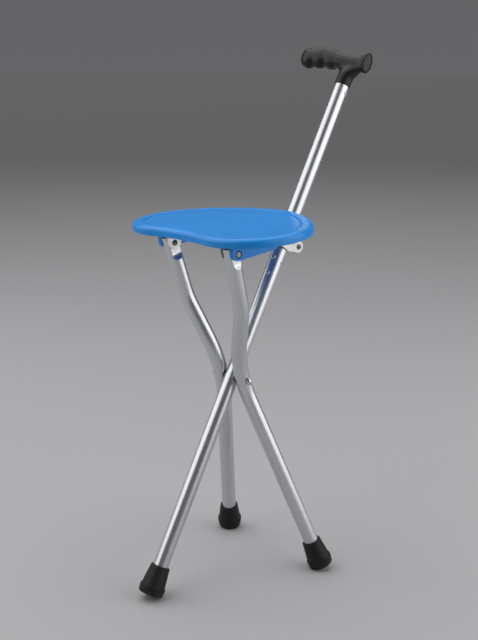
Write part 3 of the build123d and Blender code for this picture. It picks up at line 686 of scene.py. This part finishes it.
# -------------------- grip
COLLAR = SHAFT @ Matrix.Translation((0, 0, COLLAR_AT / 1000))
DISC_Y, DISC_RISE, DISC_HALF_H, DISC_HALF_W, DISC_T = -30.5, 38.0, 16.0, 10.6, 3.2
# along Y, height above the collar, half height and half width of the grip
GRIP_CUTS = (
    (DISC_Y, DISC_RISE, DISC_HALF_H, DISC_HALF_W),
    (-24.0, 37.8, 12.7, 9.4),
    (-12.0, 37.9, 11.2, 10.0),
    (4.0, 38.8, 11.2, 11.0),
    (20.0, 40.9, 12.3, 12.0),
    (36.0, 44.0, 15.4, 12.6),
    (55.0, 47.5, 17.3, 13.0),
    (73.0, 48.2, 18.0, 13.0),
    (86.0, 46.9, 16.9, 12.2),
    (95.5, 48.0, 14.8, 10.2),
    (100.5, 49.4, 12.2, 7.4),
    (103.0, 50.4, 8.8, 4.4),
)
# height above the collar, middle along Y, half width along Y and half width across
NECK_CUTS = (
    (0.0, 0.0, 12.2, 12.2),
    (7.0, -0.3, 12.0, 12.0),
    (13.5, -0.8, 12.5, 11.9),
    (18.0, -2.2, 14.2, 11.8),
    (23.0, -4.5, 19.0, 10.8),
    (27.5, -5.0, 22.8, 9.6),
    (32.0, -4.0, 24.6, 7.6),
    (37.0, -4.0, 23.0, 5.0),
)
# place along Y and relative depth of the creases under the grip, and half the width of one
NOTCHES = ((76.5, 1.0), (52.5, 0.9), (27.5, 0.4))
CREASE_HALF = 12.0
# height above the collar where a crease ends, how far below that it is whole, and how it narrows the grip
CREASE_TOP, CREASE_FADE, CREASE_PINCH = 52.0, 19.0, 0.16
# where the neck runs into the grip: limits along Y and above the collar
JOINT_Y, JOINT_Z = (-27, 31), (20, 38)


class STICKSEAT_OT_grip(bpy.types.Operator):
    """Shape the grip, its neck and the disc that closes its flared end"""
    bl_idname = "stickseat.grip"
    bl_label = "Grip"

    def execute(self, context):
        grip = context.scene.stick_seat.grip
        body = loose_object(grip_body(grip.notch * 1000), "grip_rough")
        bm = joined_by(body, "REMESH", mode="VOXEL", voxel_size=grip.grain * 1000)
        discard(body)
        smooth_joint(bm, grip.blend)
        set_down(bm, "grip_moulding", COLLAR, "stick", "black_plastic", "handle", sharp=60)
        set_down(end_disc(), "grip_disc", COLLAR, "stick", "black_plastic", "handle_end_cap", sharp=40)
        return {"FINISHED"}


def along(cuts, steps):
    """Cuts eased into a smooth run of stations."""
    stations = []
    for index in range(len(cuts) - 1):
        around = [Vector(cuts[max(0, min(len(cuts) - 1, index + shift))]) for shift in (-1, 0, 1, 2)]
        for step in range(steps):
            part = step / steps
            before, here, after, beyond = around
            stations.append(0.5 * (2 * here + (after - before) * part
                                   + (2 * before - 5 * here + 4 * after - beyond) * part ** 2
                                   + (3 * here - before - 3 * after + beyond) * part ** 3))
    return stations + [Vector(cuts[-1])]


def drawn_through(bm, places, start, squareness):
    """A closed skin through one softly squared ring at each place."""
    made = bmesh.ops.create_circle(bm, segments=64, radius=1.0, cap_ends=True)
    for vert in made["verts"]:
        vert.co.x = copysign(abs(vert.co.x) ** squareness, vert.co.x)
        vert.co.y = copysign(abs(vert.co.y) ** squareness, vert.co.y)
    bmesh.ops.transform(bm, matrix=places[0] @ start, verts=made["verts"])
    ring = [edge for edge in bm.edges if edge.verts[0] in made["verts"] and edge.verts[1] in made["verts"]]
    for before, after in zip(places, places[1:]):
        ring = draw_out(bm, ring, after @ before.inverted())
    bmesh.ops.contextual_create(bm, geom=ring)


def grip_body(notch):
    """Grip and neck as two skins that run into each other, with a crease between each two finger bumps."""
    bm = bmesh.new()
    places = [Matrix.Translation((0, y, rise)) @ Matrix.Diagonal((wide, 1, high, 1))
              for y, rise, high, wide in along(GRIP_CUTS, 10)]
    drawn_through(bm, places, Matrix.Rotation(radians(90), 4, "X"), 0.90)
    for vert in bm.verts:
        crease = max(depth * max(0.0, 1.0 - abs(vert.co.y - y) / CREASE_HALF) ** 2.1
                     for y, depth in NOTCHES)
        under = max(0.0, min(1.0, (CREASE_TOP - vert.co.z) / CREASE_FADE))
        vert.co.z += notch * crease * under ** 1.2
        vert.co.x *= 1 - CREASE_PINCH * crease * under
    places = [Matrix.Translation((0, middle, rise)) @ Matrix.Diagonal((across, wide, 1, 1))
              for rise, middle, wide, across in along(NECK_CUTS, 8)]
    drawn_through(bm, places, HERE, 1.0)
    bmesh.ops.recalc_face_normals(bm, faces=bm.faces)
    return bm


def smooth_joint(bm, passes):
    """Smooth the whole skin a little, and more where the neck runs into the grip."""
    joint = [vert for vert in bm.verts
             if JOINT_Y[0] < vert.co.y < JOINT_Y[1] and JOINT_Z[0] < vert.co.z < JOINT_Z[1]]
    skin = [vert for vert in bm.verts if vert.co.z > 1.5 and vert.co.y > DISC_Y + 1.5]
    for verts, times in ((joint, passes), (skin, 2)):
        for _ in range(times):
            bmesh.ops.smooth_vert(bm, verts=verts, factor=0.5, use_axis_x=True, use_axis_y=True,
                                  use_axis_z=True)


def end_disc():
    """Oval disc on the flared end: a rounded rim, a thin groove inside it and a slightly crowned face."""
    face = ((0.0, 0.0), (0.5, 0.1), (0.83, 0.3), (0.87, 0.6), (0.885, 1.2), (0.915, 1.2), (0.93, 0.6),
            (0.955, 0.3), (0.985, 0.6), (1.0, 1.2))
    profile = [(reach, depth - DISC_T) for reach, depth in face] + [(1.0, -0.3), (0.99, 0.0), (0.0, 0.0)]
    disc = turned(profile, 72)
    stand = Matrix.Translation((0, DISC_Y, DISC_RISE)) @ Matrix.Rotation(radians(-90), 4, "X")
    oval = Matrix.Diagonal((DISC_HALF_W, DISC_HALF_H, 1, 1))
    bmesh.ops.transform(disc, matrix=stand @ oval, verts=disc.verts)
    return disc


# -------------------- seat
# radius and angle of each arc of the outline, from the nose to the hollow tail
OUTLINE = ((71.0, 14.7), (198.0, 34.2), (105.0, 40.1), (88.0, 30.8), (70.5, 72.7))
# length of a step round the outline, how far in the rim's section reaches, the panel's underside below
# the top, and how far cheeks and ribs run into the panel
ARC_STEP, SWEEP_IN, PANEL_UNDER, OVERLAP = 4.54, 24.0, 4.0, 0.5
# the ribs' depth, half thickness and ends inside the wall, their places, and the bay for the bracket
RIB_DEPTH, RIB_HALF, RIB_INSET = 6.0, 1.0, 2.4
RIB_X, RIB_Y, BAY = (-15.0, 35.0, 85.0), (34.0, -34.0), (-14.5, 13.6)
# the pocket for the nut of a hinge bolt
POCKET_R, POCKET_DEPTH = 5.5, 4.0


class STICKSEAT_OT_seat(bpy.types.Operator):
    """Mould the seat: rim, border, panel, ribs and the two hinge cheeks"""
    bl_idname = "stickseat.seat"
    bl_label = "Seat"

    def execute(self, context):
        seat = context.scene.stick_seat.seat
        bm = seat_rim(seat)
        for _, sign in SIDES:
            rail = hinge_rail(seat)
            bmesh.ops.transform(rail, matrix=ACROSS[sign], verts=rail.verts)
            add_drawing(bm, rail)
        for rib in seat_ribs(seat):
            add_drawing(bm, rib)
        set_down(bm, "seat_moulding", SEAT, "seat", "blue_plastic", "seat_shell", sharp=32)
        return {"FINISHED"}


def add_drawing(bm, other):
    """Move one drawing's faces into another."""
    mesh = bpy.data.meshes.new("carried")
    other.to_mesh(mesh)
    other.free()
    bm.from_mesh(mesh)
    bpy.data.meshes.remove(mesh)


def outline_turns():
    """Centre, angle and radius of each arc of the outline, worked from the nose."""
    start, heading, turns = Vector((NOSE_X, 0, 0)), Vector((0, 1, 0)), []
    for radius, angle in OUTLINE:
        left = Vector((-heading.y, heading.x, 0))
        centre = start + left * radius
        spin = Matrix.Rotation(radians(angle), 3, "Z")
        turns.append((centre, angle, radius))
        start = centre + spin @ (start - centre)
        heading = spin @ heading
    tail_angle = 180 - sum(angle for _, angle in OUTLINE)
    radius = start.y / sin(radians(-tail_angle))
    right = Vector((heading.y, -heading.x, 0))
    turns.append((start + right * radius, tail_angle, radius))
    return turns


def seat_rim(seat):
    """Sweep the rim's section round the outline and close it above and below."""
    top, low = seat.rise * 1000, (seat.rise - seat.skirt) * 1000
    edge, run, border = seat.rounding * 1000, seat.rounding_run * 1000, seat.border * 1000
    under = top - PANEL_UNDER
    section = [(SWEEP_IN, under), (5.4, under), (4.2, under - 0.4), (3.3, under - 1.6), (3.0, under - 3.2)]
    section += [(2.9, low + 0.6), (2.3, low), (0.7, low), (0.15, low + 0.6), (0.0, low + 1.6)]
    rounding = [radians(turn) for turn in range(0, 91, 9)]
    section += [(run * (1 - cos(turn)), top - edge + edge * sin(turn)) for turn in rounding]
    section += [(border - 3.4, top), (border - 1.7, top - 0.06), (border - 0.9, top - 0.34)]
    section += [(border - 0.3, top - 1.05)]
    section += [(border + 0.2, top - 1.80), (border + 0.7, top - 1.95), (border + 1.3, top - 1.75)]
    section += [(border + 2.0, top - 1.20), (border + 3.0, top - 1.0), (SWEEP_IN, top - 1.0)]
    bm = bmesh.new()
    points = [bm.verts.new((NOSE_X - inset, 0, height)) for inset, height in section]
    line = [bm.edges.new(pair) for pair in zip(points, points[1:])]
    parts = points + line
    for centre, angle, radius in outline_turns():
        steps = max(4, round(abs(radians(angle)) * radius / ARC_STEP))
        parts = bmesh.ops.spin(bm, geom=parts, cent=centre, axis=(0, 0, 1), angle=radians(angle),
                               steps=steps, use_merge=False)["geom_last"]
    bmesh.ops.mirror(bm, geom=bm.verts[:] + bm.edges[:] + bm.faces[:], axis="Y", merge_dist=0.01)
    bmesh.ops.remove_doubles(bm, verts=bm.verts, dist=0.005)
    close_holes(bm)
    return bm


def plate(points, low, high, corner=0.0):
    """Flat plate: an outline in X and Z, its corners eased, drawn out between two values of y."""
    bm = bmesh.new()
    bm.faces.new([bm.verts.new((x, low, z)) for x, z in points])
    if corner:
        bmesh.ops.bevel(bm, geom=bm.verts[:], offset=corner, offset_type="OFFSET", segments=5, profile=0.5,
                        affect="VERTICES", material=-1, clamp_overlap=True)
    made = bmesh.ops.extrude_face_region(bm, geom=bm.faces[:], use_keep_orig=True)
    bmesh.ops.translate(bm, vec=(0, high - low, 0),
                        verts=[part for part in made["geom"] if isinstance(part, bmesh.types.BMVert)])
    bmesh.ops.recalc_face_normals(bm, faces=bm.faces)
    return bm


def hinge_rail(seat):
    """Cheek outside the +Y leg, with a round pocket for the bolt's nut."""
    under = seat.rise * 1000 - PANEL_UNDER + OVERLAP
    outline = ((-10.0, under), (-10.0, -4.25), (-5.0, -8.5), (5.0, -8.5), (70.0, -4.5), (108.0, under))
    slab = loose_object(plate(outline, RAIL_IN, RAIL_OUT, 3.0), "rail_slab")
    pocket = bmesh.new()
    across = Matrix.Translation((0, RAIL_OUT, 0)) @ Matrix.Rotation(radians(90), 4, "X")
    bmesh.ops.create_cone(pocket, cap_ends=True, segments=48, radius1=POCKET_R, radius2=POCKET_R,
                          depth=2 * POCKET_DEPTH, matrix=across)
    cutter = loose_object(pocket, "rail_pocket")
    rail = joined_by(slab, "BOOLEAN", operation="DIFFERENCE", object=cutter, solver="EXACT")
    discard(slab, cutter)
    return rail


def seat_ribs(seat):
    """Thin ribs under the panel, clear of the plates and the bracket's web."""
    under = seat.rise * 1000 - PANEL_UNDER
    low, high = under - RIB_DEPTH, under + OVERLAP
    spans = []
    for x in RIB_X:
        reach = wall_y(x) - RIB_INSET
        spans.append(((x - RIB_HALF, x + RIB_HALF), (-reach, reach)))
    for y in RIB_Y:
        nose, tail = wall_x(abs(y))
        for ends in ((tail + RIB_INSET, BAY[0]), (BAY[1], nose - RIB_INSET)):
            spans.append((ends, (y - RIB_HALF, y + RIB_HALF)))
    for (x_low, x_high), (y_low, y_high) in spans:
        yield plate(((x_low, low), (x_high, low), (x_high, high), (x_low, high)), y_low, y_high)


def outline_chain(steps=160):
    """Points of half the outline, from the nose to the tail."""
    chain = [Vector((NOSE_X, 0, 0))]
    for centre, angle, _ in outline_turns():
        arm = chain[-1] - centre
        chain += [centre + Matrix.Rotation(radians(angle * step / steps), 3, "Z") @ arm
                  for step in range(1, steps + 1)]
    return chain


# how near a point of the outline has to be to count as being at a place
NEAR = 1.5


def wall_y(x):
    """Half the seat's width at this x."""
    return min(point.y for point in outline_chain() if abs(point.x - x) < NEAR)


def wall_x(y):
    """Nose and tail ends of the seat at this y."""
    near = [point.x for point in outline_chain() if abs(point.y - y) < NEAR]
    return min(x for x in near if x > 0), max(x for x in near if x < 0)


# -------------------- fittings
class STICKSEAT_OT_hinges(bpy.types.Operator):
    """Fit the hinge plates, their bolts and nuts, and the small screws"""
    bl_idname = "stickseat.hinges"
    bl_label = "Seat hinges"

    def execute(self, context):
        for side, _ in SIDES:
            eased_copy(side + "_hinge_plate", side + "_plate", "seat", "plate_steel", 0.35)
            for part, ease in (("bolt", 0.15), ("nut", 0.3)):
                node, name = side + "_hinge_" + part, side + "_" + part
                # the hinge bolts and nuts take the darker steel, which paints shade on them
                eased_copy(node, name, "seat", "bright_steel", ease).data.materials[0] = FINISHES["painted_shade_steel"]
        eased_copy("plate_screws", "plate_screw_set", "seat", "bright_steel", 0.0)
        return {"FINISHED"}


class STICKSEAT_OT_slide(bpy.types.Operator):
    """Fit the bracket that slides on the shaft, with its sleeve, bolt, nut and screws"""
    bl_idname = "stickseat.slide"
    bl_label = "Sliding bracket"

    def execute(self, context):
        eased_copy("slide_bracket", "slide_plate", "seat", "plate_steel", 0.35)
        eased_copy("slide_sleeve", "slide_roller", "seat", "slide_plastic", 0.5)
        for node, name, ease in (("slide_bolt", "slide_screw", 0.15), ("slide_nut", "slide_cap_nut", 0.2)):
            # the slide screw and cap nut take the darker steel, which paints shade on them
            eased_copy(node, name, "seat", "bright_steel", ease).data.materials[0] = FINISHES["painted_shade_steel"]
        eased_copy("bracket_screws", "bracket_screw_set", "seat", "bright_steel", 0.0)
        return {"FINISHED"}


class STICKSEAT_OT_pivot(bpy.types.Operator):
    """Fit the bolt through shaft and legs, with its washers, saddles and nut"""
    bl_idname = "stickseat.pivot"
    bl_label = "Leg pivot"

    def execute(self, context):
        for side, _ in SIDES:
            eased_copy(side + "_pivot_washer", side + "_washer", "stick", "bright_steel", 0.15)
            eased_copy(side + "_pivot_saddle", side + "_saddle", "stick", "slide_plastic", 0.2)
        eased_copy("pivot_bolt", "cross_bolt", "stick", "bright_steel", 0.2)
        eased_copy("pivot_nut", "cross_nut", "stick", "bright_steel", 0.2)
        return {"FINISHED"}


class STICKSEAT_OT_rivets(bpy.types.Operator):
    """Set the blind rivets and the stop button in the shaft"""
    bl_idname = "stickseat.rivets"
    bl_label = "Rivets and stop"

    def execute(self, context):
        for index, (height, around) in enumerate(RIVETS):
            blind_rivet("rivet_%d" % (index + 1), height, around)
        blind_rivet("rivet_grip", *GRIP_RIVET, "handle_rivet")
        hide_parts("liner_rivets")
        eased_copy("seat_stop", "stop_button", "stick", "bright_steel", 0.2)
        return {"FINISHED"}


def blind_rivet(name, height, around, *nodes):
    """Domed head with a hollow core and the end of its stem down inside, painted dark for the shade in the core.
    """
    stand = Matrix.Translation((TUBE_R / 1000, 0, height / 1000)) @ Matrix.Rotation(radians(90), 4, "Y")
    place = SHAFT @ Matrix.Rotation(radians(around), 4, "Z") @ stand
    head = [(1.12, 0.12), (1.12, 0.82), (1.22, 0.98), (1.45, 1.05), (2.0, 0.92), (2.6, 0.62), (3.05, 0.22),
            (3.3, -0.22), (3.3, -0.75), (2.4, -0.9)]
    set_down(turned(head, 40), name, place, "stick", "bright_steel", *nodes, sharp=50)
    stem = [(0, 0.42), (0.55, 0.40), (1.0, 0.30), (1.2, 0.1), (1.2, -0.5), (0, -0.5)]
    core = set_down(turned(stem, 32), name + "_stem", place, "stick", "bright_steel", sharp=50)
    # near-black stem: painted shade of the hollow core
    core.data.materials[0] = FINISHES["stem"]


class STICKSEAT_OT_inner(bpy.types.Operator):
    """Give the pieces that lie hidden inside the tubes their own finishes"""
    bl_idname = "stickseat.inner"
    bl_label = "Hidden pieces"

    def execute(self, context):
        slots = {entry["node"]: entry["material_slot"] for entry in frame["record"]["subparts"]}
        for node, thing in frame["nodes"].items():
            thing.data.materials.clear()
            thing.data.materials.append(FINISHES[slots[node]])
            if not thing.hide_render and slots[node] == "tube_alloy":
                layer = thing.data.attributes.new("drawn", "FLOAT_VECTOR", "POINT")
                places = [part * 1000 for vert in thing.data.vertices for part in vert.co]
                layer.data.foreach_set("vector", places)
        return {"FINISHED"}


# -------------------- stage
# the camera's place in metres, how far it looks down and how far it is turned from +Y, in degrees
EYE, EYE_DIP, EYE_TURN = (-1.0397, -1.0752, 0.7389), 13.7, -43.17
# metres from the middle where the floor's painted shade starts and ends, and how dark it paints the floor far away
FLOOR_SHADE_SPAN, FAR_FLOOR_SHADE = (0.6, 7.5), 0.36
AIR_LOW, AIR_HIGH = (0.132, 0.132, 0.138, 1.0), (0.085, 0.085, 0.09, 1.0)


class STICKSEAT_OT_stage(bpy.types.Operator):
    """Lay the grey floor, hang the lamps and set the camera"""
    bl_idname = "stickseat.stage"
    bl_label = "Stage"

    def execute(self, context):
        stage = context.scene.stick_seat.stage
        lay_floor(stage)
        hang_light("overhead", "SUN", (0.30, 0.50, 1.7), (0, 0, 0), energy=1.75, angle=radians(76))
        hang_light("right box", "AREA", (0.90, -1.44, 1.05), (0, 0, 0.5), shape="RECTANGLE",
                   size=2.6, size_y=2.0, energy=25)
        hang_light("left box", "AREA", (-1.35, 1.05, 1.50), (0, 0, 0.4), shape="RECTANGLE",
                   size=3.2, size_y=2.4, energy=32)
        light_air(context.scene)
        lens = bpy.data.cameras.new("camera")
        lens.lens = stage.lens
        lens.sensor_width = 36.0
        eye = bpy.data.objects.new("camera", lens)
        eye.location = EYE
        eye.rotation_euler = (radians(90 - EYE_DIP), 0, radians(EYE_TURN))
        context.scene.collection.objects.link(eye)
        context.scene.camera = eye
        context.scene.view_settings.view_transform = "Standard"
        return {"FINISHED"}


def lay_floor(stage):
    """Grey floor with painted shade that darkens it with its distance from the middle, as light falling off."""
    bm = bmesh.new()
    bmesh.ops.create_grid(bm, x_segments=1, y_segments=1, size=60.0)
    floor = loose_object(bm, "floor")
    finish = Finish("Studio floor")
    cloud = finish.noise(finish.where(), 1.2, 2.0)
    away = finish.node("VectorMath", {"operation": "LENGTH"}, {0: finish.where()}, output="Value")
    colour = finish.mixed(cloud, shade(stage.floor, 0.99), shade(stage.floor, 1.01))
    # painted shade: the floor darkens away from the middle, as light falling off
    colour = finish.mixed(away.between(*FLOOR_SHADE_SPAN), colour, shade(stage.floor, FAR_FLOOR_SHADE))
    floor.data.materials.append(finish.surface(Base_Color=colour, Roughness=0.8))


def hang_light(name, kind, place, aim, **settings):
    """A lamp that the camera doesn't see, turned to its aim."""
    light = set_all(bpy.data.lights.new(name, kind), settings)
    lamp = bpy.data.objects.new(name, light)
    lamp.location = place
    lamp.rotation_euler = (Vector(aim) - Vector(place)).to_track_quat("-Z", "Y").to_euler()
    lamp.visible_camera = False
    bpy.context.scene.collection.objects.link(lamp)


def light_air(scene):
    """Dark grey studio air, a little lighter low down."""
    air = Finish("studio", air=True)
    up = air.part(air.node("TexCoord", output="Generated"), "Z").between(-0.1, 0.7)
    sky = air.mixed(up, AIR_LOW, AIR_HIGH)
    air.shown_by("World", air.node("Background", None, {"Color": sky, "Strength": 1.0}))
    scene.world = air.owner


# -------------------- panel
STEPS = (STICKSEAT_OT_shaft, STICKSEAT_OT_legs, STICKSEAT_OT_feet, STICKSEAT_OT_grip, STICKSEAT_OT_seat,
         STICKSEAT_OT_hinges, STICKSEAT_OT_slide, STICKSEAT_OT_pivot, STICKSEAT_OT_rivets,
         STICKSEAT_OT_inner, STICKSEAT_OT_stage)


class STICKSEAT_PT_panel(bpy.types.Panel):
    bl_idname = "STICKSEAT_PT_panel"
    bl_label = "Walking Stick Seat"
    bl_space_type = "VIEW_3D"
    bl_region_type = "UI"
    bl_category = "Stick Seat"

    def draw(self, context):
        settings = context.scene.stick_seat
        for group in ("tubes", "seat", "grip", "feet", "fittings", "stage"):
            box = self.layout.box()
            box.label(text=group.capitalize())
            values = getattr(settings, group)
            for key in values.__annotations__:
                box.prop(values, key)
        for step in STEPS:
            self.layout.operator(step.bl_idname)


CLASSES = (TubeSettings, SeatSettings, GripSettings, FootSettings, FittingSettings, StageSettings,
           StickSeatSettings) + STEPS + (STICKSEAT_PT_panel,)


def register():
    for made in CLASSES:
        bpy.utils.register_class(made)
    bpy.types.Scene.stick_seat = PointerProperty(type=StickSeatSettings)


def unregister():
    del bpy.types.Scene.stick_seat
    for made in reversed(CLASSES):
        bpy.utils.unregister_class(made)


def main():
    register()
    mix_finishes(bpy.context.scene.stick_seat)
    for step in STEPS:
        area, name = step.bl_idname.split(".")
        getattr(getattr(bpy.ops, area), name)()


if __name__ == "__main__":
    main()
